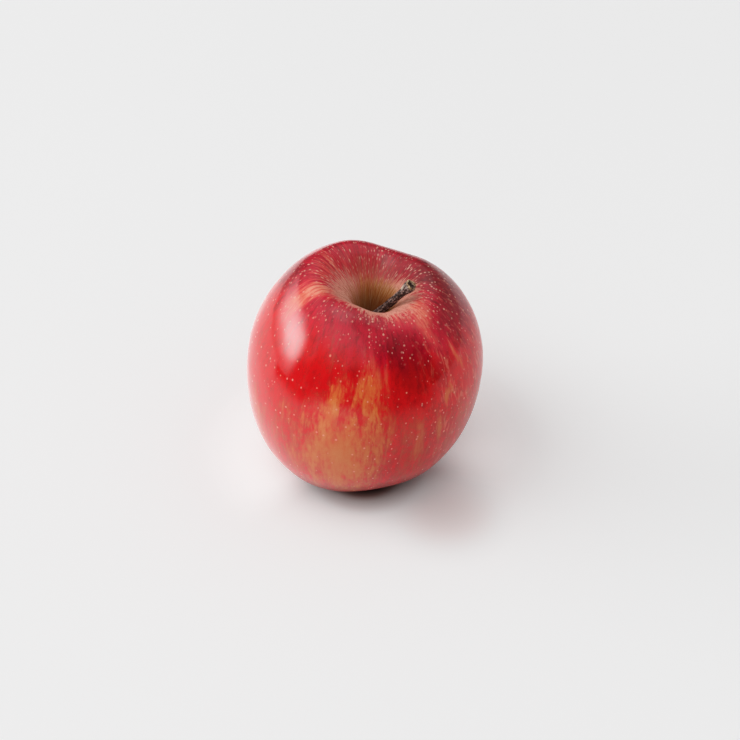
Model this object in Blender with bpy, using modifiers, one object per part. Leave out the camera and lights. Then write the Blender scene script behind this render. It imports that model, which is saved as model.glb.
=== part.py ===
"""A ripe red apple standing on its base: the fruit, its stem, and the dried remains of its flower
in the eye underneath. Units are metres, +Z is up, and the origin is on the surface it stands on,
under the middle of the fruit."""

import math

import bmesh
import bpy
from mathutils import Matrix, Vector

# Outline of the fruit, from the middle of the stem cavity over the crest, down the side, and into
# the basin under it. Each ring of the cage has a radius and a height. The finished skin runs a
# little inside the cage, as a smoothed surface does.
STEM_CAVITY_POLE = 0.0532
STEM_CAVITY_RINGS = ((0.0038, 0.0550), (0.0065, 0.0619), (0.0105, 0.0660))
CREST = (0.0179, 0.0727)
SHOULDER_RINGS = ((0.0259, 0.0669), (0.0340, 0.0567), (0.0389, 0.0449))
LOWER_RINGS = ((0.0395, 0.0300), (0.0356, 0.0131), (0.0275, 0.0031))
BASE_RING = (0.0158, -0.0011)
BASIN_RINGS = ((0.0092, 0.0030), (0.0046, 0.0080))
BASIN_POLE = 0.0092
CAGE_COLUMNS = 20
SMOOTHING_LEVELS = 2

# How this apple differs from a turned one. A wave is a number of bulges round the fruit, how far
# they stand out, and the direction of the first. Girth waves are shares of the radius. The last of
# each group are the five ribs. The core line leans, too, and the rings of the stem cavity stand a
# little to the side that the stem leans to.
RIBS = 5
RIB_ANGLE = math.radians(28)
GIRTH_WAVES = (
    (2, 0.026, math.radians(31)),
    (3, 0.011, math.radians(13)),
    (RIBS, 0.006, RIB_ANGLE),
)
CREST_WAVES = (
    (1, 0.0040, math.radians(163)),
    (2, 0.0005, math.radians(20)),
    (3, 0.0009, math.radians(16)),
    (RIBS, 0.0009, RIB_ANGLE),
)
BASE_WAVES = ((RIBS, 0.0011, RIB_ANGLE),)
BASE_WAVE_REACH = 0.014
LEAN = Vector((0.045, 0.014))
LEAN_MIDDLE = 0.038
STEM_CAVITY_SHIFTS = (0.0003, 0.0017, 0.0013)

# Stem: points along its middle, from its foot in the fruit to its broken end, each with a radius.
STEM_FOOT = Vector((-0.0008, 0.0003, 0.0508))
STEM_RUN = (
    ((0.0000, 0.0000, 0.0000), 0.00135),
    ((0.0019, -0.0008, 0.0040), 0.00135),
    ((0.0058, -0.0020, 0.0085), 0.00120),
    ((0.0100, -0.0034, 0.0139), 0.00112),
    ((0.0132, -0.0045, 0.0182), 0.00135),
    ((0.0148, -0.0050, 0.0202), 0.00195),
    ((0.0157, -0.0053, 0.0213), 0.00200),
)
STEM_BEVEL_RESOLUTION = 4
STEM_STEPS_PER_POINT = 2
STEM_SOCKET_LENGTH = 0.0060

# Eye: a short pit in the middle of the basin, the dried sepals round its rim, and the stamens in it.
EYE_MIDDLE = LEAN * (BASIN_POLE - LEAN_MIDDLE)
EYE_MOUTH_RADIUS = 0.0026
EYE_FLOOR_RADIUS = 0.0019
EYE_MOUTH_HEIGHT = 0.0070
EYE_FLOOR_HEIGHT = 0.0122
BORE_SIDES = 24

# A sepal hangs from its foot on the basin's skin. Its middle leans in over the pit, its tip curls
# out, and its edges fold in.
SEPALS = 5
SEPAL_DROP = 0.0049
SEPAL_WIDTH = 0.0034
SEPAL_TIP_SHARE = 0.12
SEPAL_THICKNESS = 0.0005
SEPAL_LEAN = 0.0011
SEPAL_CURL = 0.0011
SEPAL_FOLD = 0.0006
SEPAL_RING_RADIUS = 0.0036
SEPAL_FOOT_HEIGHT = 0.0077
SEPAL_COLUMNS = 2
SEPAL_ROWS = 5

STAMENS = 8
STAMEN_ROOT_RADIUS = 0.00024
STAMEN_TIP_RADIUS = 0.00014
STAMEN_LENGTH = 0.0052
STAMEN_RING_RADIUS = 0.00105
STAMEN_SPREAD = math.radians(9)
STAMEN_SIDES = 6
TUFT_FOOT_RADIUS = 0.0016
TUFT_NECK_RADIUS = 0.00136
TUFT_FOOT_HEIGHT = 0.0009
TUFT_FOOT_SIDES = 16

GAP = 0.0003
CUTTER_REACH = 0.06
CUTTER_DEPTH = 0.01


def clear_scene():
    for old in list(bpy.data.objects):
        bpy.data.objects.remove(old)


def new_collection(name):
    collection = bpy.data.collections.new(name)
    bpy.context.scene.collection.children.link(collection)
    return collection


def new_material(name, color, roughness):
    material = bpy.data.materials.new(name)
    material.use_nodes = True
    shader = material.node_tree.nodes["Principled BSDF"]
    shader.inputs["Base Color"].default_value = (*color, 1)
    shader.inputs["Roughness"].default_value = roughness
    shader.inputs["Metallic"].default_value = 0
    return material


def new_object(name, bm, collection):
    mesh = bpy.data.meshes.new(name)
    bm.to_mesh(mesh)
    bm.free()
    mesh.shade_smooth()
    placed = bpy.data.objects.new(name, mesh)
    collection.objects.link(placed)
    return placed


def new_cutter(name, bm, collection):
    cutter = new_object(name, bm, collection)
    cutter.hide_render = True
    cutter.display_type = "WIRE"
    return cutter


def boolean(part, operation, other):
    modifier = part.modifiers.new(other.name, "BOOLEAN")
    modifier.operation = operation
    modifier.solver = "EXACT"
    modifier.object = other


def subdivide(part, levels):
    modifier = part.modifiers.new("Smooth form", "SUBSURF")
    modifier.levels = levels
    modifier.render_levels = levels


def waves_at(waves, angle):
    return sum(size * math.cos(count * (angle - peak)) for count, size, peak in waves)


def fruit_point(ring, angle):
    """Where the cage's ring (radius, height) meets the meridian at this angle."""
    radius, height = ring
    outward = min(1, radius / CREST[0])
    crest_share = (height / CREST[1]) ** 2 * outward
    base_share = max(0, 1 - height / BASE_WAVE_REACH) * outward
    reach = radius * (1 + waves_at(GIRTH_WAVES, angle))
    rise = crest_share * waves_at(CREST_WAVES, angle) - base_share * waves_at(BASE_WAVES, angle)
    lean = LEAN * (height - LEAN_MIDDLE)
    return Vector(
        (reach * math.cos(angle) + lean.x, reach * math.sin(angle) + lean.y, height + rise)
    )


def fruit_cage():
    """A ball of rings and meridians, each ring moved to its place on the fruit's outline."""
    rings = (
        (0, STEM_CAVITY_POLE),
        *STEM_CAVITY_RINGS,
        CREST,
        *SHOULDER_RINGS,
        *LOWER_RINGS,
        BASE_RING,
        *BASIN_RINGS,
        (0, BASIN_POLE),
    )
    shifts = dict(enumerate(STEM_CAVITY_SHIFTS, start=1))
    bm = bmesh.new()
    bmesh.ops.create_uvsphere(bm, u_segments=CAGE_COLUMNS, v_segments=len(rings) - 1, radius=1)
    for vertex in bm.verts:
        x, y, z = vertex.co
        ring = round(math.acos(max(-1, min(1, z))) / math.pi * (len(rings) - 1))
        vertex.co = fruit_point(rings[ring], math.atan2(y, x))
        vertex.co.x += shifts.get(ring, 0)
    return bm


def floor_cutter():
    """A block whose top is the surface that the apple stands on."""
    bm = bmesh.new()
    bmesh.ops.create_cube(bm, size=1)
    bmesh.ops.scale(bm, vec=(2 * CUTTER_REACH, 2 * CUTTER_REACH, CUTTER_DEPTH), verts=bm.verts)
    bmesh.ops.translate(bm, vec=(0, 0, -CUTTER_DEPTH / 2), verts=bm.verts)
    return bm


def new_cone(bm, sides, low_radius, high_radius, height, matrix):
    bmesh.ops.create_cone(
        bm,
        cap_ends=True,
        segments=sides,
        radius1=low_radius,
        radius2=high_radius,
        depth=height,
        matrix=matrix,
    )


def socket_cutter():
    """A round bore along the stem's foot, wider than it by the gap on every side."""
    radius = STEM_RUN[0][1] + GAP
    along = (Vector(STEM_RUN[1][0]) - Vector(STEM_RUN[0][0])).normalized()
    turn = along.to_track_quat("Z", "Y").to_matrix().to_4x4()
    middle = STEM_FOOT + along * (STEM_SOCKET_LENGTH / 2 - GAP)
    bm = bmesh.new()
    new_cone(bm, BORE_SIDES, radius, radius, STEM_SOCKET_LENGTH, Matrix.Translation(middle) @ turn)
    return bm


def eye_cutter():
    """The pit of the eye, wider at its mouth than at its floor."""
    depth = EYE_FLOOR_HEIGHT - EYE_MOUTH_HEIGHT
    middle = (*EYE_MIDDLE, EYE_MOUTH_HEIGHT + depth / 2)
    bm = bmesh.new()
    new_cone(
        bm, BORE_SIDES, EYE_MOUTH_RADIUS, EYE_FLOOR_RADIUS, depth, Matrix.Translation(middle)
    )
    return bm


def make_fruit(parts, cutters):
    fruit = new_object("fruit", fruit_cage(), parts)
    subdivide(fruit, SMOOTHING_LEVELS)
    boolean(fruit, "DIFFERENCE", new_cutter("cut_resting_flats", floor_cutter(), cutters))
    boolean(fruit, "DIFFERENCE", new_cutter("cut_stem_socket", socket_cutter(), cutters))
    boolean(fruit, "DIFFERENCE", new_cutter("cut_eye", eye_cutter(), cutters))
    return fruit


def make_stem(parts):
    """A tapering rod swept along the stem's run, thick again at its broken end."""
    curve = bpy.data.curves.new("stem", "CURVE")
    curve.dimensions = "3D"
    curve.bevel_depth = 1
    curve.bevel_resolution = STEM_BEVEL_RESOLUTION
    curve.use_fill_caps = True
    curve.resolution_u = STEM_STEPS_PER_POINT
    curve.use_radius = True
    spline = curve.splines.new("BEZIER")
    spline.bezier_points.add(len(STEM_RUN) - 1)
    for point, (place, radius) in zip(spline.bezier_points, STEM_RUN):
        point.co = place
        point.radius = radius
        point.handle_left_type = "AUTO"
        point.handle_right_type = "AUTO"
    stem = bpy.data.objects.new("stem", curve)
    stem.location = STEM_FOOT
    parts.objects.link(stem)
    return stem


def sepal_cage():
    """A lance-shaped leaf that hangs down from its foot, with its outer side towards +X."""
    bm = bmesh.new()
    bmesh.ops.create_grid(bm, x_segments=SEPAL_ROWS, y_segments=SEPAL_COLUMNS, size=0.5)
    for vertex in bm.verts:
        along = vertex.co.x + 0.5
        across = 2 * vertex.co.y
        half_width = SEPAL_WIDTH / 2 * max(SEPAL_TIP_SHARE, math.cos(math.pi / 2 * along))
        lean = SEPAL_CURL * along**3 - SEPAL_LEAN * math.sin(math.pi * along)
        fold = SEPAL_FOLD * across**2 * (1 - along)
        vertex.co = Vector((lean - fold, across * half_width, -SEPAL_DROP * along))
    return bm


def make_sepal(number, parts):
    angle = RIB_ANGLE + 2 * math.pi * number / SEPALS
    sepal = new_object(f"sepal_{number + 1}", sepal_cage(), parts)
    outward = Vector((math.cos(angle), math.sin(angle)))
    middle = EYE_MIDDLE + outward * SEPAL_RING_RADIUS
    sepal.location = (*middle, SEPAL_FOOT_HEIGHT)
    sepal.rotation_euler.z = angle
    wall = sepal.modifiers.new("Leaf thickness", "SOLIDIFY")
    wall.thickness = SEPAL_THICKNESS
    wall.offset = 0
    subdivide(sepal, 1)
    return sepal


def stamen_threads():
    """Thin tapering threads that hang from the tuft's foot and spread a little."""
    bm = bmesh.new()
    for number in range(STAMENS):
        around = Matrix.Rotation(2 * math.pi * number / STAMENS, 4, "Z")
        outward = Matrix.Translation((STAMEN_RING_RADIUS, 0, 0))
        spread = Matrix.Rotation(-STAMEN_SPREAD, 4, "Y")
        hang = Matrix.Translation((0, 0, -STAMEN_LENGTH / 2))
        new_cone(
            bm,
            STAMEN_SIDES,
            STAMEN_TIP_RADIUS,
            STAMEN_ROOT_RADIUS,
            STAMEN_LENGTH,
            around @ outward @ spread @ hang,
        )
    return bm


def make_stamen_tuft(parts, cutters):
    """A small round foot on the pit's floor, with the threads joined to it."""
    bm = bmesh.new()
    new_cone(
        bm, TUFT_FOOT_SIDES, TUFT_NECK_RADIUS, TUFT_FOOT_RADIUS, TUFT_FOOT_HEIGHT, Matrix.Identity(4)
    )
    tuft = new_object("stamen_tuft", bm, parts)
    tuft.location = (*EYE_MIDDLE, EYE_FLOOR_HEIGHT - GAP - TUFT_FOOT_HEIGHT / 2)
    threads = new_cutter("stamen_threads", stamen_threads(), cutters)
    threads.location = tuft.location
    boolean(tuft, "UNION", threads)
    return tuft


def main():
    clear_scene()
    parts = new_collection("red_apple")
    cutters = new_collection("cutters")
    skin = new_material("apple_skin", (0.42, 0.022, 0.024), 0.32)
    bark = new_material("stem_bark", (0.085, 0.045, 0.026), 0.7)
    leaf = new_material("dried_sepal", (0.15, 0.09, 0.045), 0.85)
    thread = new_material("dried_stamen", (0.07, 0.038, 0.02), 0.85)

    apple = bpy.data.objects.new("apple", None)
    parts.objects.link(apple)
    pieces = [
        (make_fruit(parts, cutters), skin),
        (make_stem(parts), bark),
        *((make_sepal(number, parts), leaf) for number in range(SEPALS)),
        (make_stamen_tuft(parts, cutters), thread),
    ]
    for piece, material in pieces:
        piece.data.materials.append(material)
        piece.parent = apple


main()
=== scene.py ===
"""A ripe red apple on a pale table: its streaked waxy skin, the woody stem in its hollow, and the
dried flower in the eye underneath. Metres, +Z up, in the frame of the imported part."""

import math

import bmesh
import bpy
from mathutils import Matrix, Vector


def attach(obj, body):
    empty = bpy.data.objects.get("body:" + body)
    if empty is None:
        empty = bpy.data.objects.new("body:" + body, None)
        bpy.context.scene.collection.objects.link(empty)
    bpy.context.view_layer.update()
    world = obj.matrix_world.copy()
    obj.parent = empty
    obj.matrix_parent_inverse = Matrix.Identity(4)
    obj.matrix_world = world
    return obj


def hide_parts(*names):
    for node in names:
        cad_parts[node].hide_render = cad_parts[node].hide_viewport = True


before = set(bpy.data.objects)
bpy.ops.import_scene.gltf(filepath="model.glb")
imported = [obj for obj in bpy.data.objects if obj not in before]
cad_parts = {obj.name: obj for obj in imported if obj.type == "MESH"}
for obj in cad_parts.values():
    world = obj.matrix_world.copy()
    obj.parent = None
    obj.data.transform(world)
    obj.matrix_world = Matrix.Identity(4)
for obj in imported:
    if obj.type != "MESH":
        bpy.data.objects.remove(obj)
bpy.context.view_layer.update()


# The fruit: one body of crisp flesh in a thin waxy skin, grown in one piece. It is shaped from a
# ball: each ring is drawn to its place on the outline, down into the hollow round the stem and up
# into the eye underneath, and the meridians are drawn in and out for the ribs.
# How far the core goes sideways for each metre that it rises, about its middle height.
CORE_LEAN = Vector((0.045, 0.014, 0))
CORE_MIDDLE = 0.038
# Rings of the outline from the stem's foot to the eye, each with a radius and a height.
STEM_WELL_FLOOR = 0.0507
STEM_WELL = ((0.0012, 0.0508), (0.0017, 0.0519), (0.0019, 0.0533))
STEM_WELL_SHIFTS = (-0.0008, -0.0005, 0.0001)
HOLLOW = ((0.0038, 0.0550), (0.0065, 0.0619), (0.0105, 0.0660))
HOLLOW_SHIFTS = (0.0003, 0.0017, 0.0013)
CREST = (0.0179, 0.0727)
SIDE = (
    (0.0259, 0.0669),
    (0.0340, 0.0567),
    (0.0389, 0.0449),
    (0.0395, 0.0300),
    (0.0356, 0.0131),
    (0.0275, 0.0031),
)
BASE = (0.0158, -0.0011)
BASIN = ((0.0092, 0.0030), (0.0046, 0.0080))
EYE = ((0.0031, 0.0083), (0.0024, 0.0092), (0.0020, 0.0118))
EYE_FLOOR = 0.0122
MERIDIANS = 20
RIBS = 5
RIB_ANGLE = math.radians(28)
# A wave: how many bulges go round the fruit, how far they stand out, and where the first one is.
GIRTH_WAVES = (
    (2, 0.026, math.radians(31)),
    (3, 0.011, math.radians(13)),
    (RIBS, 0.006, RIB_ANGLE),
)
CREST_WAVES = (
    (1, 0.0040, math.radians(163)),
    (2, 0.0005, math.radians(20)),
    (3, 0.0009, math.radians(16)),
    (RIBS, 0.0009, RIB_ANGLE),
)
BASE_WAVES = ((RIBS, 0.0011, RIB_ANGLE),)
BASE_WAVE_REACH = 0.014
SKIN_SMOOTHING = 4
SKIN_HILL_WIDTH = 0.011
SKIN_HILL_HEIGHT = 0.00025


def edit(piece):
    """Opens one piece in edit mode with nothing else selected."""
    if bpy.context.mode != "OBJECT":
        bpy.ops.object.mode_set(mode="OBJECT")
    bpy.ops.object.select_all(action="DESELECT")
    bpy.context.view_layer.objects.active = piece
    piece.select_set(True)
    bpy.ops.object.mode_set(mode="EDIT")
    bpy.ops.mesh.select_mode(type="VERT")


def pick(piece, wanted):
    """Selects the wanted vertices of the open piece."""
    cage = bmesh.from_edit_mesh(piece.data)
    for vertex in cage.verts:
        vertex.select_set(bool(wanted(vertex)))
    cage.select_flush_mode()
    bmesh.update_edit_mesh(piece.data)


def close():
    bpy.ops.object.mode_set(mode="OBJECT")
    bpy.ops.object.select_all(action="DESELECT")


def finish_with(piece, kind, **settings):
    """Adds a modifier with these settings and applies it."""
    modifier = piece.modifiers.new(kind.title(), kind)
    for name, value in settings.items():
        setattr(modifier, name, value)
    bpy.context.view_layer.objects.active = piece
    bpy.ops.object.modifier_apply(modifier=modifier.name)


def roughen(piece, name, kind, width, height, mid_level=0.5, detail=2):
    """Pushes the surface of a piece in and out over CLOUDS, or over VORONOI cells, of this width."""
    relief = bpy.data.textures.new(name, kind)
    relief.noise_scale = width
    if kind == "CLOUDS":
        relief.noise_depth = detail
    finish_with(
        piece, "DISPLACE", texture=relief, texture_coords="LOCAL", strength=height, mid_level=mid_level
    )
    bpy.data.textures.remove(relief)


def waves_at(waves, angle):
    return sum(size * math.cos(count * (angle - peak)) for count, size, peak in waves)


def shape_fruit():
    """Draws each ring of a ball to the outline, then each meridian in or out for the ribs. What
    comes to lie under the table is pressed flat."""
    rings = (*STEM_WELL, *HOLLOW, CREST, *SIDE, BASE, *BASIN, *EYE)
    bpy.ops.object.select_all(action="DESELECT")
    bpy.ops.mesh.primitive_uv_sphere_add(
        segments=MERIDIANS, ring_count=len(rings) + 1, radius=1, enter_editmode=False
    )
    fruit = bpy.context.active_object
    fruit.name = "apple_fruit"
    turn = math.pi / (len(rings) + 1)
    ring_of = {v.index: round(math.acos(max(-1, min(1, v.co.z))) / turn) for v in fruit.data.vertices}
    angle_of = {v.index: math.atan2(v.co.y, v.co.x) for v in fruit.data.vertices}
    edit(fruit)
    for pole, place, height in ((0, 1, STEM_WELL_FLOOR), (len(rings) + 1, -1, EYE_FLOOR)):
        pick(fruit, lambda vertex: ring_of[vertex.index] == pole)
        sink = CORE_LEAN * (height - CORE_MIDDLE)
        bpy.ops.transform.translate(value=(sink.x, sink.y, height - place))
    for number, (radius, height) in enumerate(rings, start=1):
        pick(fruit, lambda vertex: ring_of[vertex.index] == number)
        across = radius / math.sin(turn * number)
        bpy.ops.transform.resize(value=(across, across, 1), center_override=(0, 0, 0))
        bpy.ops.transform.translate(value=(0, 0, height - math.cos(turn * number)))
        outward = min(1, radius / CREST[0])
        crest_share = (height / CREST[1]) ** 2 * outward
        base_share = max(0, 1 - height / BASE_WAVE_REACH) * outward
        sink = CORE_LEAN * (height - CORE_MIDDLE)
        for member in sorted(n for n, ring in ring_of.items() if ring == number):
            angle = angle_of[member]
            reach = 1 + waves_at(GIRTH_WAVES, angle)
            rise = crest_share * waves_at(CREST_WAVES, angle) - base_share * waves_at(BASE_WAVES, angle)
            pick(fruit, lambda vertex: vertex.index == member)
            bpy.ops.transform.resize(value=(reach, reach, 1), center_override=(0, 0, 0))
            bpy.ops.transform.translate(value=(sink.x, sink.y, rise))
    for number, shift in enumerate((*STEM_WELL_SHIFTS, *HOLLOW_SHIFTS), start=1):
        pick(fruit, lambda vertex: ring_of[vertex.index] == number)
        bpy.ops.transform.translate(value=(shift, 0, 0))
    close()
    finish_with(fruit, "SUBSURF", levels=SKIN_SMOOTHING, render_levels=SKIN_SMOOTHING)
    roughen(fruit, "skin_hills", "CLOUDS", SKIN_HILL_WIDTH, SKIN_HILL_HEIGHT, detail=1)
    edit(fruit)
    pick(fruit, lambda vertex: vertex.co.z < 0)
    bpy.ops.transform.resize(value=(1, 1, 0), center_override=(0, 0, 0))
    close()
    fruit.data.shade_smooth()
    return fruit


class Pattern:
    """A value that varies over a surface. Sums written with patterns become Math nodes."""

    def __init__(self, tree, socket=None):
        self.tree = tree
        self.socket = socket

    def node(self, kind, settings, values, output=0):
        """Adds a node: first its settings, then the values or links of its sockets."""
        made = self.tree.nodes.new("ShaderNode" + kind)
        for name, value in settings.items():
            if name == "stops":
                self.set_stops(made.color_ramp, value)
            else:
                setattr(made, name, value)
        for name, value in values.items():
            if isinstance(value, Pattern):
                self.tree.links.new(value.socket, made.inputs[name])
            else:
                made.inputs[name].default_value = value
        return Pattern(self.tree, made.outputs[output])

    @staticmethod
    def set_stops(ramp, stops):
        while len(ramp.elements) < len(stops):
            ramp.elements.new(1)
        for element, (place, colour) in zip(ramp.elements, stops):
            element.position = place
            element.color = (*colour, 1)

    def other(self, output):
        """Another output of the same node."""
        return Pattern(self.tree, self.socket.node.outputs[output])

    def maths(self, operation, *values):
        return self.node("Math", {"operation": operation}, dict(enumerate(values)))

    def __add__(self, value):
        return self.maths("ADD", self, value)

    def __sub__(self, value):
        return self.maths("SUBTRACT", self, value)

    def __rsub__(self, value):
        return self.maths("SUBTRACT", value, self)

    def __mul__(self, value):
        return self.maths("MULTIPLY", self, value)

    def __truediv__(self, value):
        return self.maths("DIVIDE", self, value)

    def __pow__(self, value):
        return self.maths("POWER", self, value)

    __radd__ = __add__
    __rmul__ = __mul__

    def between(self, start, end):
        """0 at start, 1 at end, with a soft step between them. Start may be the higher."""
        return self.node(
            "MapRange",
            {"interpolation_type": "SMOOTHSTEP"},
            {"Value": self, "From Min": start, "From Max": end},
        )

    def mix(self, low, high):
        """The colour low where this is 0, and high where it is 1."""
        return self.node("Mix", {"data_type": "RGBA"}, {0: self, 6: low, 7: high}, 2)

    def ramp(self, *stops):
        return self.node("ValToRGB", {"stops": stops}, {0: self})

    def stretched(self, x, y, z):
        return self.node("VectorMath", {"operation": "MULTIPLY"}, {0: self, 1: (x, y, z)})

    def shifted(self, x, y, z):
        return self.node("VectorMath", {"operation": "ADD"}, {0: self, 1: (x, y, z)})

    def noise(self, scale, detail=2, roughness=0.5, bending=0):
        values = {"Scale": scale, "Detail": detail, "Roughness": roughness, "Distortion": bending}
        return self.node("TexNoise", {}, {"Vector": self, **values})

    def cells(self, scale, randomness=1):
        """The distance to the nearest of many scattered points, with each one's own colour."""
        return self.node(
            "TexVoronoi", {}, {"Vector": self, "Scale": scale, "Randomness": randomness}, "Distance"
        )


def new_finish(name, settings):
    """A material with its shader, and the place on the object as the first pattern."""
    finish = bpy.data.materials.new(name)
    finish.use_nodes = True
    shader = finish.node_tree.nodes["Principled BSDF"]
    for socket, value in settings.items():
        shader.inputs[socket].default_value = value
    place = Pattern(finish.node_tree).node("TexCoord", {}, {}, "Object")
    return finish, shader, place


def feed(shader, socket, pattern):
    pattern.tree.links.new(pattern.socket, shader.inputs[socket])


def rgb(red, green, blue):
    return (red, green, blue, 1)


# The height from which a place's angle down from the stem is measured.
HEART_HEIGHT = 0.040
HOLLOW_SIDEWAYS = 0.0013
RUSSET_SIDEWAYS = 0.0011
RUSSET_BACK = 0.0010
PALE_RADIUS = 0.013
PALE_TOWARDS_CAMERA = 0.0045
TOWARDS_CAMERA = math.radians(-85)
SKIN_RELIEF = 0.00009
TINY_AREA = 1e-10
# Heights, and then distances from the middle of the hollow, at which a mark starts and is full.
ABOVE_MIDDLE = (0.045, 0.050)
LOWEST = (0.0095, 0.0045)
FRONT_EDGE = (0.0150, 0.0060)
FLECKED = (0.031, 0.022)
BROWN = (0.0170, 0.0100)
GROOVE_SHADE_REACH = (0.0175, 0.0140)
RUSSET = (0.0091, 0.0049)
FLOOR_SHADE_REACH = (0.0088, 0.0028)
SHADE_RED = rgb(0.040, 0.002, 0.003)
DASH_SALMON = rgb(0.82, 0.22, 0.14)
DOT_PINK = rgb(0.86, 0.32, 0.22)
SPECK_PINK = rgb(0.88, 0.38, 0.31)
FLECK_PINK = rgb(0.82, 0.40, 0.30)
HOLLOW_BROWN = rgb(0.36, 0.135, 0.070)
GROOVE_SHADE_RED = rgb(0.20, 0.022, 0.016)
FLOOR_SHADE_BROWN = rgb(0.08, 0.014, 0.002)
BOUNCED_RED = rgb(0.20, 0.11, 0.11)
# Patches of the flush: direction round the core, angle down from the stem, half width and half
# height in degrees, then how much redder or, below 0, yellower the patch is than the skin round it.
PATCHES = (
    # the yellow ground that shows towards the camera, wide below and narrow above
    (-101, 105, 16, 28, -0.27),
    (-88, 70, 7, 12, -0.28),
    (-106, 84, 8, 8, -0.14),
    (-103, 72, 4, 7, -0.20),
    (-78.5, 58, 1.5, 13, -0.22),
    # red strokes over that ground
    (-103, 89, 3, 7, 0.22),
    (-97, 60, 3, 6, 0.16),
    (-93, 84, 1.5, 6, 0.12),
    # the salmon band that runs down from the crest on the left
    (-158, 37, 9, 9, -0.22),
    (-150, 29, 16, 4, -0.17),
    # orange strokes inside the crest on the left
    (168, 22, 26, 7, -0.19),
    # the paler fan to the right of the hollow, and the pale strokes under it
    (-47, 33, 26, 9, -0.14),
    (-40, 43, 12, 8, -0.12),
    (-42, 56, 6, 7, -0.08),
    (-31, 66, 1.4, 7, -0.24),
    (-29, 73, 1.2, 5, -0.22),
    (-41, 80, 1.5, 4, -0.26),
    (-45, 84, 1.2, 4, -0.24),
    (-50, 100, 1.8, 6, -0.18),
    (-20, 37, 14, 7, -0.14),
    (-62, 104, 3, 12, -0.10),
    # the deepest flush
    (-64, 60, 12, 16, 0.36),
    (-74, 50, 7, 7, 0.18),
    (-122, 69, 20, 8, 0.08),
    (-103, 34, 28, 4, 0.16),
    (-18, 50, 14, 9, 0.14),
    (8, 50, 24, 16, 0.36),
    (16, 41, 14, 7, 0.18),
    (-50, 68, 7, 8, 0.20),
    (-39, 70, 5, 5, 0.16),
    (-23, 62, 5, 6, 0.16),
    (30, 31, 24, 8, 0.34),
    (172, 40, 16, 10, 0.30),
    (100, 30, 50, 6, 0.08),
    # the side away from the camera
    (62, 96, 14, 26, -0.26),
    (118, 80, 20, 24, 0.18),
)


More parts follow.
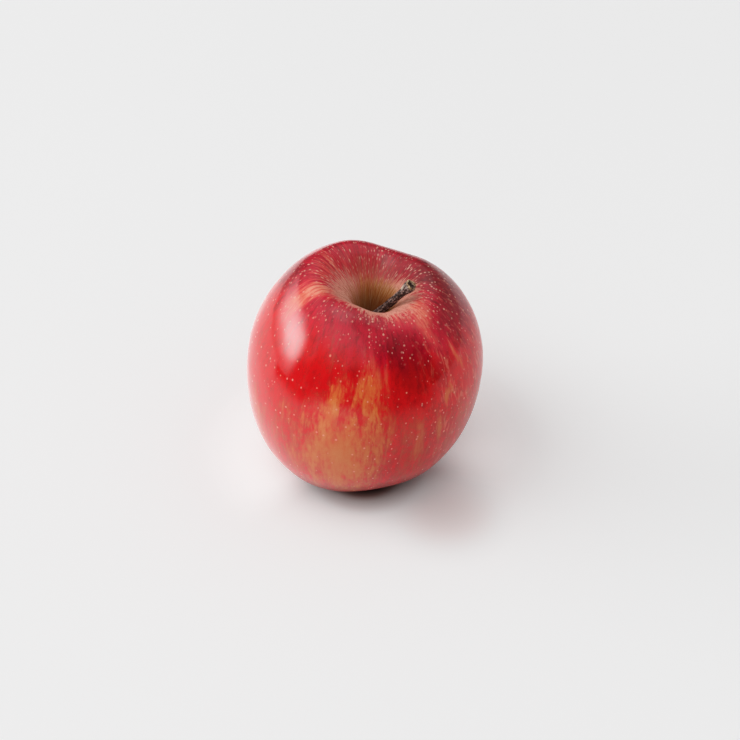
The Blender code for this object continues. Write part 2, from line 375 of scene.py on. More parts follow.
def skin_finish():
    """Yellow ground under a red flush that is broken into streaks along the meridians, pale dots
    that crowd towards the stem, and dull pale skin with russet in the hollow."""
    finish, shader, place = new_finish(
        "apple_skin",
        {"IOR": 1.45, "Specular IOR Level": 0.04, "Coat Roughness": 0.10},
    )
    # Where a point lies: its direction round the leaning core, and its angle down from the stem.
    x = place.node("SeparateXYZ", {}, {0: place}, "X")
    y = x.other("Y")
    z = x.other("Z")
    across = x - (z - CORE_MIDDLE) * CORE_LEAN.x
    away = y - (z - CORE_MIDDLE) * CORE_LEAN.y
    radius = (across * across + away * away + TINY_AREA) ** 0.5
    east = across / radius
    north = away / radius
    down = radius.maths("ARCTAN2", radius, z - HEART_HEIGHT)
    spread = place.node("CombineXYZ", {}, {0: east, 1: north, 2: down})

    # Clouds that are drawn out along the meridians, from broad ones down to single grains.
    broad = spread.stretched(1, 1, 0.40).noise(3.5, 2, 0.5)
    strokes = spread.stretched(1, 1, 0.24).noise(11, 3, 0.6, 0.5)
    fine = spread.stretched(1, 1, 0.22).noise(42, 2, 0.6, 0.6)
    mottle = spread.stretched(1, 1, 0.60).noise(20, 3, 0.65, 0.4)
    grain = spread.stretched(1, 1, 0.80).noise(110, 2, 0.6)
    ragged = (strokes - 0.5) * 1.9 + (mottle - 0.5) * 1.3 + (fine - 0.5) * 0.8

    def patch(direction, depth, width, height):
        """1 in the middle of a patch, fading out through a ragged edge."""
        facing = east * math.cos(math.radians(direction)) + north * math.sin(math.radians(direction))
        turned = facing.maths("ARCCOSINE", facing.maths("MINIMUM", facing, 1)) / math.radians(width)
        dropped = (down - math.radians(depth)) / math.radians(height)
        return ((turned * turned + dropped * dropped) ** 0.5 + ragged).between(1.9, 0.1)

    # How far the flush covers the ground: 0 is bare yellow, and 1 is the deepest red.
    flush = 0.51 + (broad - 0.5) * 0.26 + (strokes - 0.5) * 0.34 + (fine - 0.5) * 0.10
    flush = flush + (mottle - 0.5) * 0.32 + (grain - 0.5) * 0.14 - down.between(1.35, 1.75) * 0.09
    streaks = spread.stretched(1, 1, 0.16).noise(30, 2, 0.6, 0.5)
    flush = flush + (streaks - 0.5) * down.between(0.85, 0.45) * 0.75
    for direction, depth, width, height, redder in PATCHES:
        flush = flush + patch(direction, depth, width, height) * redder

    # Its colours on the side, and the pinker and darker ones of the crown.
    side = flush.ramp(
        (0.00, (0.72, 0.20, 0.062)),
        (0.18, (0.70, 0.145, 0.040)),
        (0.33, (0.68, 0.068, 0.028)),
        (0.45, (0.67, 0.018, 0.016)),
        (0.56, (0.67, 0.0060, 0.009)),
        (0.72, (0.50, 0.0045, 0.006)),
        (1.00, (0.28, 0.003, 0.005)),
    )
    crown = flush.ramp(
        (0.00, (0.84, 0.30, 0.20)),
        (0.18, (0.80, 0.185, 0.115)),
        (0.33, (0.72, 0.065, 0.060)),
        (0.48, (0.60, 0.010, 0.032)),
        (0.72, (0.38, 0.004, 0.018)),
        (1.00, (0.22, 0.003, 0.010)),
    )
    highness = down + (strokes - 0.5) * 0.5 - east * 0.20
    colour = highness.between(1.16, 0.74).mix(side, crown)

    # Deeper mottling in the red, and painted shade on the belly and round the lowest edge, darkest at
    # that edge in front.
    crownward = down.between(1.25, 0.80)
    mottling = (0.56 - mottle) * (1.1 + crownward * 0.9) + (0.5 - grain) * 0.8 + (0.5 - strokes) * 0.4
    lowest = z.between(*LOWEST)
    front_edge = z.between(*FRONT_EDGE) * north.between(-0.35, -0.85)
    mottle_and_painted_shade = mottling * flush.between(0.15, 0.50) + down.between(1.35, 1.85) * 0.14
    mottle_and_painted_shade = mottle_and_painted_shade + lowest * 0.20 + front_edge * 0.40
    # Painted shade on the front right side.
    front_right = (east * 0.47 - north * 0.88).between(0.82, 1.0) * down.between(1.15, 1.40)
    mottle_and_painted_shade = mottle_and_painted_shade + front_right * 0.09
    colour = mottle_and_painted_shade.mix(colour, SHADE_RED)

    # Short pale strokes on the right side.
    dashes = spread.stretched(1, 1, 0.28).noise(26, 3, 0.65, 0.8).between(0.53, 0.70)
    dashes = dashes * down.between(0.55, 0.80) * east.between(0.42, 0.78)
    colour = (dashes * 0.40).mix(colour, DASH_SALMON)

    # The dots: scattered large ones, and small ones that are thickest on the right and at the crown.
    large = spread.shifted(1.3, 4.9, 2.6).cells(13)
    chance = large.node("SeparateColor", {}, {0: large.other("Color")}, 0)
    dots = (large / (0.06 + chance * 0.085)).between(1.35, 0.35) * chance.between(0.0, 0.3)
    small = spread.stretched(1, 1, 0.80).shifted(0.37, 0.21, 0.55).cells(23)
    luck = small.node("SeparateColor", {}, {0: small.other("Color")}, 0)
    fate = small.node("SeparateColor", {}, {0: small.other("Color")}, 1)
    right_side = (east - north).between(0.5, 1.4)
    rarity = (down + (broad - 0.5) * 0.5).between(0.55, 1.00) * (0.44 - right_side * 0.26)
    specks = (small / (0.06 + luck * 0.13)).between(1.35, 0.30) * (fate - rarity).between(0.0, 0.15)
    colour = (dots * 0.72).mix(colour, DOT_PINK)
    colour = (specks * (0.16 + luck * 0.56)).mix(colour, SPECK_PINK)

    # Where a point lies round the middle of the hollow, and the rays and hairs that run into it.
    pit_side = across - HOLLOW_SIDEWAYS
    pit_radius = (pit_side * pit_side + away * away + TINY_AREA) ** 0.5
    frontal = pit_side / pit_radius * math.cos(TOWARDS_CAMERA)
    frontal = frontal + away / pit_radius * math.sin(TOWARDS_CAMERA)
    above = z.between(*ABOVE_MIDDLE)
    rays = spread.stretched(1, 1, 0.42).noise(15, 3, 0.7, 0.7)
    hairs = spread.stretched(1, 1, 0.52).noise(40, 2, 0.6, 0.6)
    crumbs = spread.stretched(1, 1, 0.75).noise(75, 2, 0.65)

    # Pale flecks round the crest and inwards of it.
    ticks = spread.stretched(1, 1, 1.35).shifted(0.7, 0.2, 0.9).cells(21)
    lot = ticks.node("SeparateColor", {}, {0: ticks.other("Color")}, 0)
    flecks = (ticks / (0.13 + lot * 0.24)).between(1.20, 0.40) * pit_radius.between(*FLECKED)
    outwards = (pit_radius + (mottle - 0.5) * 0.014).between(0.013, 0.025)
    flecks = flecks * (lot + 0.25 - outwards).between(0, 0.2)
    colour = (flecks * above * (0.22 + lot * 0.58)).mix(colour, FLECK_PINK)

    # The pale skin of the hollow's walls, browner at the back, with a frayed edge inside the crest.
    inward = pit_radius - PALE_RADIUS - frontal * PALE_TOWARDS_CAMERA
    frayed = inward + (rays - 0.5) * 0.0120 + (hairs - 0.5) * 0.0100 + (mottle - 0.5) * 0.007
    pale = frayed.between(0.0020, -0.0026) * above
    pale_skin = (rays * 0.3 + hairs * 0.3 + crumbs * 0.4).ramp(
        (0.37, (0.60, 0.120, 0.095)),
        (0.47, (0.80, 0.32, 0.235)),
        (0.60, (0.90, 0.54, 0.41)),
    )
    back = frontal.between(-0.55, -1.0)
    brown = pit_radius.between(*BROWN) * back * above
    brown = brown * (rays + (hairs - 0.5) * 2).between(0.25, 0.75)
    colour = (brown * 0.48).mix(colour, HOLLOW_BROWN)
    colour = (pale * (0.92 - back * 0.55)).mix(colour, pale_skin)

    # Russet deeper down, painted shade in lines along the rays, and painted shade at the bottom round
    # the stem's foot.
    sunk_side = pit_side - RUSSET_SIDEWAYS
    sunk_away = away - RUSSET_BACK
    sunk_radius = (sunk_side * sunk_side + sunk_away * sunk_away + TINY_AREA) ** 0.5
    deep = (sunk_radius + (rays - 0.5) * 0.0080).between(*RUSSET) * above
    russet = (hairs * 0.35 + rays * 0.25 + crumbs * 0.40 + (mottle - 0.5) * 0.45).ramp(
        (0.36, (0.40, 0.110, 0.018)),
        (0.50, (0.60, 0.255, 0.055)),
        (0.64, (0.74, 0.46, 0.23)),
    )
    colour = (deep * 0.88).mix(colour, russet)
    # Painted shade in lines along the rays.
    groove_shade = (hairs * 0.5 + rays * 0.5 + (crumbs - 0.5) * 0.4).between(0.54, 0.42)
    groove_shade = groove_shade * pit_radius.between(*GROOVE_SHADE_REACH) * above
    colour = (groove_shade * 0.28).mix(colour, GROOVE_SHADE_RED)
    # Painted shade at the bottom of the hollow, round the stem's foot.
    floor_shade = sunk_radius.between(*FLOOR_SHADE_REACH) * above
    colour = (floor_shade * 0.86).mix(colour, FLOOR_SHADE_BROWN)

    # A weaker red in the light that the skin throws on the table.
    bounced = place.node("LightPath", {}, {}, "Is Diffuse Ray")
    colour = (bounced * 0.3).mix(colour, BOUNCED_RED)
    feed(shader, "Base Color", colour)

    # The gloss is lost in the hollow and at the lowest edge.
    dull = place.maths("MAXIMUM", frayed.between(0.0030, -0.0040) * above, deep)
    feed(shader, "Coat Weight", (0.58 - dull * 0.48) * (1 - lowest * 0.85) * (1 - front_edge * 0.85))
    feed(shader, "Roughness", 0.45 + dull * 0.20)
    relief = (dots + specks) * 0.5 + (fine - 0.5) * 0.4 + (mottle - 0.5) * 0.6 + crumbs * dull * 2
    bump = place.node("Bump", {}, {"Height": relief, "Distance": SKIN_RELIEF, "Strength": 0.5})
    feed(shader, "Normal", bump)
    return finish


fruit = shape_fruit()
fruit.data.materials.append(skin_finish())
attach(fruit, "root")
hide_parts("fruit")


# The stem: the woody stalk the fruit hung from, still rooted in its core and broken off at the knob
# where it left the spur. It is drawn out as a straight rod, swollen at the knob, hollowed where it
# broke, roughened into scaly bark, and bent last.
STEM_FOOT = Vector((-0.0008, 0.0003, 0.0508))
STEM_BEND = (
    (0, 0, 0),
    (0.0019, -0.0008, 0.0040),
    (0.0058, -0.0020, 0.0085),
    (0.0100, -0.0034, 0.0139),
    (0.0132, -0.0045, 0.0182),
    (0.0148, -0.0050, 0.0202),
    (0.0157, -0.0053, 0.0213),
)
STEM_ROOT_RADIUS = 0.00150
STEM_ROOT_LENGTH = 0.0045
# Rings of the straight rod above the root: height and radius.
STEM_RINGS = (
    (0.0080, 0.00140),
    (0.0125, 0.00128),
    (0.0165, 0.00133),
    (0.0200, 0.00122),
    (0.0226, 0.00130),
    (0.0239, 0.00160),
    (0.0249, 0.00190),
    (0.0259, 0.00198),
    (0.0266, 0.00200),
    (0.0270, 0.00188),
    (0.0269, 0.00162),
    (0.0261, 0.00126),
    (0.0256, 0.00060),
)
STEM_SIDES = 11
KNOB_START = 0.0236
KNOB_BULGE = 0.00022
KNOB_LUMPS = 0.00022
BREAK_START = 0.0265
BREAK_LUMPS = 0.00026
BARK_PLATE_WIDTH = 0.0009
BARK_PLATE_HEIGHT = 0.00030
BARK_PLATE_LEVEL = 0.40
BARK_GRAIN_WIDTH = 0.0005
BARK_GRAIN_HEIGHT = 0.00016
BARK_STRETCH = 1.8
BARK_RELIEF = 0.0005
FLAKE_PLACE = Vector((0.0120, -0.0041, 0.0708))
FLAKE_PALE = rgb(0.66, 0.55, 0.42)
HEART_BROWN = rgb(0.050, 0.018, 0.007)
# Heights on the straight rod, and distances from its middle or the flake's, at which a mark of the
# bark starts and is full.
KNOB_BARK = (0.0228, 0.0246)
ROOT_SHADE = (0.009, 0.004)
TORN = (0.0263, 0.0270)
DARK_HEART_HEIGHT = (0.0250, 0.0256)
DARK_HEART_REACH = (0.00150, 0.00110)
FLAKE_REACH = (0.0011, 0.0007)


def remember_place(piece, name):
    """Keeps where each vertex now lies, so that the finish still follows it once it is bent."""
    kept = piece.data.attributes.new(name, "FLOAT_VECTOR", "POINT")
    for vertex in piece.data.vertices:
        kept.data[vertex.index].vector = vertex.co


def bend_along(piece, places):
    """Bends an upright piece to a curve through these places."""
    bpy.ops.object.select_all(action="DESELECT")
    bpy.ops.curve.primitive_bezier_curve_add()
    guide = bpy.context.active_object
    guide.data.dimensions = "3D"
    guide.data.resolution_u = 16
    points = guide.data.splines[0].bezier_points
    points.add(len(places) - len(points))
    for point, place in zip(points, places):
        point.co = place
        point.handle_left_type = "AUTO"
        point.handle_right_type = "AUTO"
    bpy.ops.object.select_all(action="DESELECT")
    finish_with(piece, "CURVE", object=guide, deform_axis="POS_Z")
    bpy.data.objects.remove(guide)


def squash(piece, share):
    """Makes a whole piece this many times as tall, from the ground up."""
    edit(piece)
    bpy.ops.mesh.select_all(action="SELECT")
    bpy.ops.transform.resize(value=(1, 1, share), center_override=(0, 0, 0))
    close()


def shape_stem():
    """A rod drawn out ring by ring. It is squashed while its bark is raised, so that the plates
    of the bark come out long."""
    bpy.ops.object.select_all(action="DESELECT")
    bpy.ops.mesh.primitive_cylinder_add(
        vertices=STEM_SIDES,
        radius=STEM_ROOT_RADIUS,
        depth=STEM_ROOT_LENGTH,
        end_fill_type="NGON",
        location=(0, 0, STEM_ROOT_LENGTH / 2),
    )
    bpy.ops.object.transform_apply(location=True, rotation=False, scale=False)
    stem = bpy.context.active_object
    stem.name = "apple_stem"
    edit(stem)
    pick(stem, lambda vertex: vertex.co.z > STEM_ROOT_LENGTH / 2)
    height, radius = STEM_ROOT_LENGTH, STEM_ROOT_RADIUS
    for ring_height, ring_radius in STEM_RINGS:
        bpy.ops.mesh.extrude_region_move(
            TRANSFORM_OT_translate={"value": (0, 0, ring_height - height)}
        )
        share = ring_radius / radius
        bpy.ops.transform.resize(value=(share, share, 1), center_override=(0, 0, ring_height))
        height, radius = ring_height, ring_radius
    pick(stem, lambda vertex: vertex.co.z > KNOB_START)
    bpy.ops.transform.translate(value=(KNOB_BULGE, 0, 0))
    bpy.ops.transform.vertex_random(offset=KNOB_LUMPS, uniform=0.5, normal=0, seed=4)
    pick(stem, lambda vertex: vertex.co.z > BREAK_START)
    bpy.ops.transform.vertex_random(offset=BREAK_LUMPS, uniform=0.5, normal=0, seed=9)
    close()
    finish_with(stem, "SUBSURF", levels=3, render_levels=3)
    squash(stem, 1 / BARK_STRETCH)
    roughen(stem, "bark_plates", "VORONOI", BARK_PLATE_WIDTH, BARK_PLATE_HEIGHT, BARK_PLATE_LEVEL)
    roughen(stem, "bark_grain", "CLOUDS", BARK_GRAIN_WIDTH, BARK_GRAIN_HEIGHT)
    squash(stem, BARK_STRETCH)
    remember_place(stem, "straight")
    bend_along(stem, [STEM_FOOT + Vector(place) for place in STEM_BEND])
    stem.data.shade_smooth()
    return stem


def bark_finish():
    """Dark scaly bark with dusty grey scales, tan torn wood at the broken end, and a pale flake."""
    finish, shader, place = new_finish("apple_bark", {"IOR": 1.5, "Specular IOR Level": 0.5})
    straight = place.node("Attribute", {"attribute_name": "straight"}, {}, "Vector")
    height = straight.node("SeparateXYZ", {}, {0: straight}, "Z")
    side = height.other("X")
    front = height.other("Y")
    long = straight.stretched(1, 1, 0.55)
    plates = long.cells(1900)
    scales = long.noise(1700, 3, 0.7)
    dust = straight.noise(4200, 2, 0.6)
    patches = straight.noise(420, 2, 0.5)
    shade = scales * 0.40 + dust * 0.20 + patches * 0.22 + plates.between(0.85, 0.10) * 0.18

    # Bark: dark between its scales and grey on them, paler at the knob, and with painted shade
    # towards the root, deep in the hollow.
    knob = height.between(*KNOB_BARK)
    bark = (shade + knob * 0.02 - height.between(*ROOT_SHADE) * 0.05).ramp(
        (0.40, (0.008, 0.004, 0.003)),
        (0.47, (0.030, 0.014, 0.010)),
        (0.53, (0.105, 0.058, 0.046)),
        (0.60, (0.33, 0.225, 0.195)),
    )

    # Torn wood at the break, dark in its heart.
    reach = (side * side + front * front + 1e-12) ** 0.5
    torn = (height + (scales - 0.5) * 0.0016).between(*TORN)
    wood = (dust * 0.3 + scales * 0.4 + patches * 0.3).ramp(
        (0.42, (0.050, 0.020, 0.008)),
        (0.50, (0.27, 0.13, 0.050)),
        (0.58, (0.66, 0.46, 0.26)),
    )
    colour = (torn * 0.9).mix(bark, wood)
    heart = (reach + (scales - 0.5) * 0.0012).between(*DARK_HEART_REACH)
    heart = heart * height.between(*DARK_HEART_HEIGHT)
    colour = heart.mix(colour, HEART_BROWN)

    # The pale flake, which lies on the stem as it is bent.
    flake = place.shifted(*-FLAKE_PLACE)
    far = flake.node("VectorMath", {"operation": "LENGTH"}, {0: flake}, "Value")
    pale = (far + (scales - 0.5) * 0.0022).between(*FLAKE_REACH)
    colour = (pale * 0.85).mix(colour, FLAKE_PALE)
    feed(shader, "Base Color", colour)
    feed(shader, "Roughness", 0.72 - shade.between(0.45, 0.62) * 0.20)
    bump = place.node("Bump", {}, {"Height": shade, "Distance": BARK_RELIEF, "Strength": 0.9})
    feed(shader, "Normal", bump)
    return finish


stem = shape_stem()
stem.data.materials.append(bark_finish())
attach(stem, "root")
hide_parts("stem")


# The sepals: five small leaves of the old flower, dried brown and downy, still standing round the
# eye underneath. One is cut from a flat strip, drawn to a point, curled and thickened, and then
# copied round.
EYE_MIDDLE = Vector((-0.0013, -0.0004, 0))
SEPALS = 5
SEPAL_RING_RADIUS = 0.0036
SEPAL_FOOT_HEIGHT = 0.0077
SEPAL_DROP = 0.0047
SEPAL_WIDTH = 0.0033
SEPAL_LEAN = 0.0010
SEPAL_CURL = 0.0010
SEPAL_FOLD = 0.0005
SEPAL_TAPER = 0.8
SEPAL_TIP_SHARE = 0.10
SEPAL_THICKNESS = 0.0004
SEPAL_ROWS = 6
SEPAL_COLUMNS = 4
SEPAL_HELD = 0.0005
SEPAL_CURLS = 0.00022
SEPAL_WRINKLE_WIDTH = 0.0007
SEPAL_WRINKLE_HEIGHT = 0.00016
SEPAL_TIP = (0.0045, 0.0030)
DOWN_RELIEF = 0.0002


def shape_sepal():
    """One sepal, hanging from its foot on the rim of the eye towards +X."""
    bpy.ops.object.select_all(action="DESELECT")
    bpy.ops.mesh.primitive_grid_add(x_subdivisions=SEPAL_ROWS, y_subdivisions=SEPAL_COLUMNS, size=1)
    sepal = bpy.context.active_object
    sepal.name = "apple_sepal_1"
    rows = {v.index: v.co.x + 0.5 for v in sepal.data.vertices}
    columns = {v.index: v.co.y * 2 for v in sepal.data.vertices}
    edit(sepal)
    bpy.ops.mesh.select_all(action="SELECT")
    bpy.ops.transform.translate(value=(0.5, 0, 0))
    bpy.ops.transform.rotate(
        value=-math.pi / 2, orient_axis="Y", orient_type="GLOBAL", center_override=(0, 0, 0)
    )
    bpy.ops.transform.resize(value=(1, SEPAL_WIDTH, SEPAL_DROP), center_override=(0, 0, 0))
    for share in sorted(set(rows.values())):
        pick(sepal, lambda vertex: rows[vertex.index] == share)
        narrow = max(SEPAL_TIP_SHARE, math.cos(math.pi / 2 * share) ** SEPAL_TAPER)
        bpy.ops.transform.resize(value=(1, narrow, 1), center_override=(0, 0, 0))
        lean = SEPAL_CURL * share**3 - SEPAL_LEAN * math.sin(math.pi * share)
        bpy.ops.transform.translate(value=(lean, 0, 0))
    for side in sorted(set(columns.values())):
        pick(sepal, lambda vertex: columns[vertex.index] == side)
        bpy.ops.transform.translate(value=(-SEPAL_FOLD * side * side, 0, 0))
    bpy.ops.mesh.select_all(action="SELECT")
    bpy.ops.transform.translate(value=(SEPAL_RING_RADIUS, 0, SEPAL_FOOT_HEIGHT))
    bpy.ops.transform.translate(value=EYE_MIDDLE)
    close()
    return sepal


def copy_of(piece, name):
    """A copy of the piece with a mesh of its own."""
    bpy.ops.object.select_all(action="DESELECT")
    bpy.context.view_layer.objects.active = piece
    piece.select_set(True)
    bpy.ops.object.duplicate(linked=False)
    twin = bpy.context.active_object
    twin.name = name
    return twin


def sepal_finish():
    """Dry brown leaf with a greyish green down, darker towards the tip."""
    finish, shader, place = new_finish(
        "dried_sepal", {"Roughness": 0.9, "Specular IOR Level": 0.2, "Sheen Weight": 0.35}
    )
    height = place.node("SeparateXYZ", {}, {0: place}, "Z")
    down = place.noise(2600, 2, 0.6)
    blotch = place.noise(700, 2, 0.5)
    tone = blotch * 0.5 + down * 0.5 - height.between(*SEPAL_TIP) * 0.10
    leaf = tone.ramp(
        (0.36, (0.045, 0.024, 0.012)),
        (0.50, (0.15, 0.095, 0.048)),
        (0.64, (0.34, 0.27, 0.17)),
    )
    feed(shader, "Base Color", leaf)
    bump = place.node("Bump", {}, {"Height": down, "Distance": DOWN_RELIEF, "Strength": 0.6})
    feed(shader, "Normal", bump)
    return finish


first_sepal = shape_sepal()
first_sepal.data.materials.append(sepal_finish())
sepals = [first_sepal] + [copy_of(first_sepal, f"apple_sepal_{n + 1}") for n in range(1, SEPALS)]
for number, sepal in enumerate(sepals):
    edit(sepal)
    bpy.ops.mesh.select_all(action="SELECT")
    bpy.ops.transform.rotate(
        value=-(RIB_ANGLE + 2 * math.pi * number / SEPALS),
        orient_axis="Z",
        orient_type="GLOBAL",
        center_override=EYE_MIDDLE,
    )
    pick(sepal, lambda vertex: vertex.co.z < SEPAL_FOOT_HEIGHT - SEPAL_HELD)
    bpy.ops.transform.vertex_random(offset=SEPAL_CURLS, uniform=0.4, normal=0, seed=20 + number)
    close()
    finish_with(sepal, "SUBSURF", levels=2, render_levels=2)
    finish_with(sepal, "SOLIDIFY", thickness=SEPAL_THICKNESS, offset=0)
    finish_with(sepal, "SUBSURF", levels=1, render_levels=1)
    roughen(sepal, "leaf_wrinkles", "CLOUDS", SEPAL_WRINKLE_WIDTH, SEPAL_WRINKLE_HEIGHT)
    sepal.data.shade_smooth()
    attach(sepal, "root")
    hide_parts(f"sepal_{number + 1}")


# The stamens: the withered threads of the old flower, a small brown tuft that hangs from the roof
# of the eye. Each thread is drawn out of a thin rod and ends in an empty pollen sac.
STAMENS = 8
STAMEN_ROOT_RADIUS = 0.00022
STAMEN_ROOT_LENGTH = 0.0012
STAMEN_ROOT_SUNK = 0.0005
# Steps down a thread: how long, the share of the width that is left, and how far outwards.
STAMEN_STEPS = ((0.0009, 0.9, 0.00006), (0.0010, 0.85, 0.00016), (0.0009, 0.8, 0.00028))
# Steps down the sac at its end: how long, and the share of the width.
STAMEN_SAC = ((0.00025, 2.1), (0.00045, 1.1), (0.00030, 0.4))
STAMEN_RING_RADIUS = 0.00105
STAMEN_WRINKLE_WIDTH = 0.0005
STAMEN_WRINKLE_HEIGHT = 0.00008
TUFT_FOOT_RADIUS = 0.0016
TUFT_FOOT_TOP = 0.0119
TUFT_FOOT_DEPTH = 0.0009
TUFT_FOOT_TAPER = 0.85


def shape_tuft():
    """A round foot, and the threads on it, each a little longer or shorter than the next."""
    bpy.ops.object.select_all(action="DESELECT")
    bpy.ops.mesh.primitive_cylinder_add(
        vertices=24, radius=TUFT_FOOT_RADIUS, depth=TUFT_FOOT_DEPTH, end_fill_type="NGON"
    )
    tuft = bpy.context.active_object
    tuft.name = "apple_stamens"
    edit(tuft)
    bpy.ops.mesh.select_all(action="SELECT")
    bpy.ops.transform.translate(value=(0, 0, TUFT_FOOT_TOP - TUFT_FOOT_DEPTH / 2))
    pick(tuft, lambda vertex: vertex.co.z < TUFT_FOOT_TOP - TUFT_FOOT_DEPTH / 2)
    bpy.ops.transform.resize(value=(TUFT_FOOT_TAPER, TUFT_FOOT_TAPER, 1), center_override=(0, 0, 0))
    middle = TUFT_FOOT_TOP - TUFT_FOOT_DEPTH - STAMEN_ROOT_LENGTH / 2 + STAMEN_ROOT_SUNK
    for number in range(STAMENS):
        angle = 2 * math.pi * number / STAMENS + 0.3 * math.sin(5 * number)
        outward = Vector((math.cos(angle), math.sin(angle), 0))
        length = 1 + 0.12 * math.cos(3 * number)
        reach = STAMEN_RING_RADIUS * (1 - 0.25 * (number % 3 == 1))
        bpy.ops.mesh.select_all(action="DESELECT")
        bpy.ops.mesh.primitive_cylinder_add(
            vertices=8,
            radius=STAMEN_ROOT_RADIUS,
            depth=STAMEN_ROOT_LENGTH,
            end_fill_type="NGON",
            location=outward * reach + Vector((0, 0, middle)),
        )
        pick(tuft, lambda vertex: vertex.select and vertex.co.z < middle)
        tip = outward * reach + Vector((0, 0, middle - STAMEN_ROOT_LENGTH / 2))
        for drop, share, sway in STAMEN_STEPS:
            step = outward * sway - Vector((0, 0, drop * length))
            bpy.ops.mesh.extrude_region_move(TRANSFORM_OT_translate={"value": step})
            tip = tip + step
            bpy.ops.transform.resize(value=(share, share, 1), center_override=tip)
        for drop, share in STAMEN_SAC:
            step = Vector((0, 0, -drop))
            bpy.ops.mesh.extrude_region_move(TRANSFORM_OT_translate={"value": step})
            tip = tip + step
            bpy.ops.transform.resize(value=(share, share, 1), center_override=tip)
    bpy.ops.mesh.select_all(action="SELECT")
    bpy.ops.transform.translate(value=EYE_MIDDLE)
    close()
    roughen(tuft, "withered", "CLOUDS", STAMEN_WRINKLE_WIDTH, STAMEN_WRINKLE_HEIGHT)
    tuft.data.shade_smooth()
    return tuft


tuft = shape_tuft()
tuft_finish, tuft_shader, tuft_place = new_finish(
    "dried_stamen", {"Roughness": 0.85, "Specular IOR Level": 0.3}
)
withered = tuft_place.noise(1500, 2, 0.6).ramp(
    (0.38, (0.025, 0.012, 0.006)),
    (0.62, (0.13, 0.075, 0.035)),
)
feed(tuft_shader, "Base Color", withered)
tuft.data.materials.append(tuft_finish)
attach(tuft, "root")
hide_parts("stamen_tuft")


# The table and the light: a plain pale top in a bright room, with a wide soft window on the left,
# soft light from above and behind, and a dark side in front. Painted on the table are light, brighter
# on the left and dimmer behind, the contact's shadow and the fruit's cast shadow, a glow of light
# round the fruit, and painted reflections of what its skin mirrors.
TABLE_SIZE = 12
TABLE_TONE = 0.92
CONTACT_STRETCH = 1.2
CONTACT_FORWARD = 0.0090
CONTACT_TONE = 0.04
CAST_RIGHT = 0.027
CAST_FORWARD = 0.034
CAST_RADIUS = 0.026
CAST_DEPTH = 0.22
SPILL = 0.32
SHEEN = 0.10
SHEEN_AT_LEFT = 1.15
BACKGROUND = 0.80
LIGHT = 1.25
# What the fruit's skin mirrors, and the light that falls on it.
MIRRORED_WALLS = 0.62
MIRRORED_WINDOW = 9
FALLING_LIGHT = 0.45
FALLING_FROM_ABOVE = 1.9
FALLING_FROM_WINDOW = 5.5
ABOVE = Vector((-0.35, -0.24, 0.906))


def turn_from_left(x, y):
    """The direction round the fruit in degrees: 0 at the left, over 0 behind and under 0 in front."""
    return y.maths("ARCTAN2", y, x * -1) * math.degrees(1)


bpy.ops.object.select_all(action="DESELECT")
bpy.ops.mesh.primitive_plane_add(size=TABLE_SIZE)
table = bpy.context.active_object
table.name = "table_top"
table_finish, table_shader, table_place = new_finish(
    "pale_table",
    {"Roughness": 0.6, "Specular IOR Level": 0.2, "Emission Strength": 1},
)
table_x = table_place.node("SeparateXYZ", {}, {0: table_place}, "X")
table_y = table_x.other("Y")
# Painted light on the table's tone: lighter towards the window on the left, and darker behind.
painted_light_tone = TABLE_TONE + table_x.between(0.1, -0.2) * 0.04 - table_y.between(-0.05, 0.35) * 0.02

# Painted shadows on the table: how much light reaches it, almost none at the contact, and less where
# the fruit stands in the window's way. The darkest places are painted warm.
contact_x = table_x * CONTACT_STRETCH
contact_y = table_y + CONTACT_FORWARD
contact = (contact_x * contact_x + contact_y * contact_y) ** 0.5
lit = CONTACT_TONE + contact.between(0.0125, 0.0190) * 0.55 + contact.between(0.0150, 0.0270) * 0.41
cast_x = table_x - CAST_RIGHT
cast_y = table_y + CAST_FORWARD
cast = (cast_x * cast_x + cast_y * cast_y) ** 0.5
lit = lit * (1 - cast.between(CAST_RADIUS, 0) * CAST_DEPTH)
ground = (painted_light_tone * lit).ramp(
    (0.0, (0.03, 0.008, 0.006)),
    (0.3, (0.31, 0.19, 0.175)),
    (0.6, (0.60, 0.53, 0.52)),
    (0.76, (0.76, 0.705, 0.70)),
    (0.88, (0.88, 0.88, 0.88)),
    (1.0, (1.0, 1.0, 1.0)),
)

# Painted reflections: in the skin's gloss the table is darker towards the skirt at the right front,
# and glows weakly on the left. A painted spill of light, which only the camera sees, glows beside
# and behind the fruit.
table_turn = turn_from_left(table_x, table_y)
from_middle = (table_x * table_x + table_y * table_y) ** 0.5
seen = table_x.node("LightPath", {}, {}, "Is Camera Ray")
dimmed = table_turn.between(-95, -112) * table_turn.between(-160, -140)
dimmed = dimmed * from_middle.between(0.060, 0.170) * 0.6 * seen.other("Is Glossy Ray")
feed(table_shader, "Base Color", dimmed.mix(ground, rgb(0, 0, 0)))
front_share = table_turn.between(-28, -52) * table_turn.between(-180, -148)
spill = (1 - front_share) * from_middle.between(0.060, 0.031) * SPILL
sheen = (SHEEN + table_x.between(0.03, -0.06) * SHEEN_AT_LEFT) * lit
feed(table_shader, "Emission Color", spill * seen + sheen * seen.other("Is Glossy Ray"))
table.data.materials.append(table_finish)

# The room is the colour of the world: one brightness for what the skin mirrors, one for the light
# that falls on things, and an even one for the background that the camera sees.
world = bpy.data.worlds.new("soft_room")
world.use_nodes = True
glow = world.node_tree.nodes["Background"]
glow.inputs["Color"].default_value = rgb(1, 1, 1)
compass = Pattern(world.node_tree).node("TexCoord", {}, {}, "Generated")
toward_right = compass.node("SeparateXYZ", {}, {0: compass}, "X")
toward_back = toward_right.other("Y")
upward = toward_right.other("Z")
bearing = turn_from_left(toward_right, toward_back)
altitude = toward_right.maths("ARCSINE", upward) * math.degrees(1)
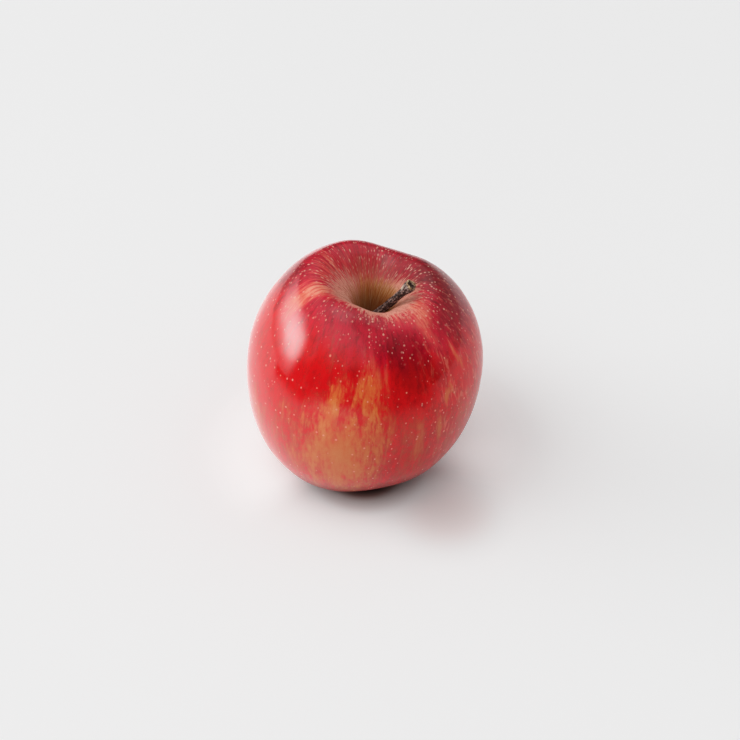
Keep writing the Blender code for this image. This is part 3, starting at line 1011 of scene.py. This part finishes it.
# In the mirrored room the walls are dimmer behind, and the front is dark below the ceiling.
dim_back = bearing.between(20, 60) * bearing.between(130, 95)
walls = MIRRORED_WALLS - toward_right * 0.22 + dim_back * -0.38
dark_side = bearing.between(-8, -16) * bearing.between(-172, -160)
dark_top = 14 + bearing.between(-25, -45) * 14 + bearing.between(-112, -130) * 12
dark_share = ((altitude - dark_top) / 9).between(1, -0.6)
# The window on the left with its brighter core, and the ceiling, dimmer at the right front.
window = bearing.between(-20, -3) * bearing.between(50, 6)
window = window * altitude.between(31, 22) * altitude.between(-2, 15)
core = bearing.between(-14, 0) * bearing.between(32, 6)
core = core * altitude.between(28, 17) * altitude.between(5, 15)
dim_corner = bearing.between(-112, -128) * bearing.between(-178, -166)
ceiling = altitude.between(28, 48) * (1 - dim_corner * 0.8) + altitude.between(58, 76) * 1.6
mirrored = walls * (1 - dark_side * dark_share * 0.98) + ceiling + window * MIRRORED_WINDOW
mirrored = mirrored + core * MIRRORED_WINDOW
# The falling light comes from above, from the window, and weakly from low on the right.
low_right = toward_right.between(0.45, 0.95) * altitude.between(42, 6)
overhead = upward * ABOVE.z + toward_right * ABOVE.x + toward_back * ABOVE.y
falling = FALLING_LIGHT - toward_right * 0.08 + low_right * 0.45
falling = falling + overhead.between(0.76, 0.92) * FALLING_FROM_ABOVE + window * FALLING_FROM_WINDOW
camera_ray = compass.node("LightPath", {}, {}, "Is Camera Ray")
glossy_ray = camera_ray.other("Is Glossy Ray")
strength = glossy_ray * (mirrored - falling) + falling
feed(glow, "Strength", (camera_ray * (BACKGROUND - strength) + strength) * LIGHT)
bpy.context.scene.world = world

# The skirt: a low dark ring round the front of the fruit that only the skin's gloss shows. It
# blends the table's bright mirror image into the dark side of the room above it.
SKIRT_RADIUS = 0.17
SKIRT_HEIGHT = 0.05
SKIRT_START = 0.029
SKIRT_BLEND = 0.022
bpy.ops.object.select_all(action="DESELECT")
bpy.ops.mesh.primitive_cylinder_add(
    vertices=96, radius=SKIRT_RADIUS, depth=SKIRT_HEIGHT, end_fill_type="NOTHING"
)
skirt = bpy.context.active_object
skirt.name = "dark_skirt"
edit(skirt)
bpy.ops.mesh.select_all(action="SELECT")
bpy.ops.transform.translate(value=(0, 0, SKIRT_HEIGHT / 2))
close()
skirt_finish, skirt_shader, skirt_place = new_finish(
    "dark_skirt", {"Base Color": rgb(0.01, 0.01, 0.01), "Roughness": 1, "Specular IOR Level": 0}
)
skirt_x = skirt_place.node("SeparateXYZ", {}, {0: skirt_place}, "X")
skirt_turn = turn_from_left(skirt_x, skirt_x.other("Y"))
lift = SKIRT_START - skirt_turn.between(-55, -40) * 0.014 - skirt_turn.between(-95, -112) * 0.023
cover = ((skirt_x.other("Z") - lift) / SKIRT_BLEND).between(-0.5, 1.2)
feed(skirt_shader, "Alpha", cover * skirt_turn.between(1, -5) * skirt_turn.between(-160, -140))
skirt.data.materials.append(skirt_finish)
for ray in ("camera", "diffuse", "transmission", "volume_scatter", "shadow"):
    setattr(skirt, "visible_" + ray, False)


# The camera: a short telephoto lens that looks down at the fruit from the front. Its tones follow
# a curve that is steep in the darks and flat in the lights.
CAMERA_LENS = 85
CAMERA_SENSOR = 36
CAMERA_RISE = math.radians(39)
CAMERA_DISTANCE = 0.577
CAMERA_TARGET = Vector((0.00177, 0, 0.03367))
WHITE_LEVEL = 2.4
GAMMA = 0.88
TONES = (
    (0.054, 0.122),
    (0.108, 0.24),
    (0.217, 0.43),
    (0.325, 0.61),
    (0.433, 0.765),
    (0.542, 0.87),
    (0.704, 0.95),
)

camera_data = bpy.data.cameras.new("camera")
camera_data.lens = CAMERA_LENS
camera_data.sensor_width = CAMERA_SENSOR
camera = bpy.data.objects.new("camera", camera_data)
bpy.context.scene.collection.objects.link(camera)
camera.location = CAMERA_TARGET + Vector(
    (0, -math.cos(CAMERA_RISE) * CAMERA_DISTANCE, math.sin(CAMERA_RISE) * CAMERA_DISTANCE)
)
camera.rotation_euler = (math.pi / 2 - CAMERA_RISE, 0, 0)
bpy.context.scene.camera = camera
view = bpy.context.scene.view_settings
view.view_transform = "Standard"
view.gamma = GAMMA
view.use_curve_mapping = True
view.curve_mapping.white_level = (WHITE_LEVEL, WHITE_LEVEL, WHITE_LEVEL)
tone_curve = view.curve_mapping.curves[3].points
tone_curve[1].location = (1, 1)
for brightness, shown in TONES:
    tone_curve.new(brightness, shown)
view.curve_mapping.update()
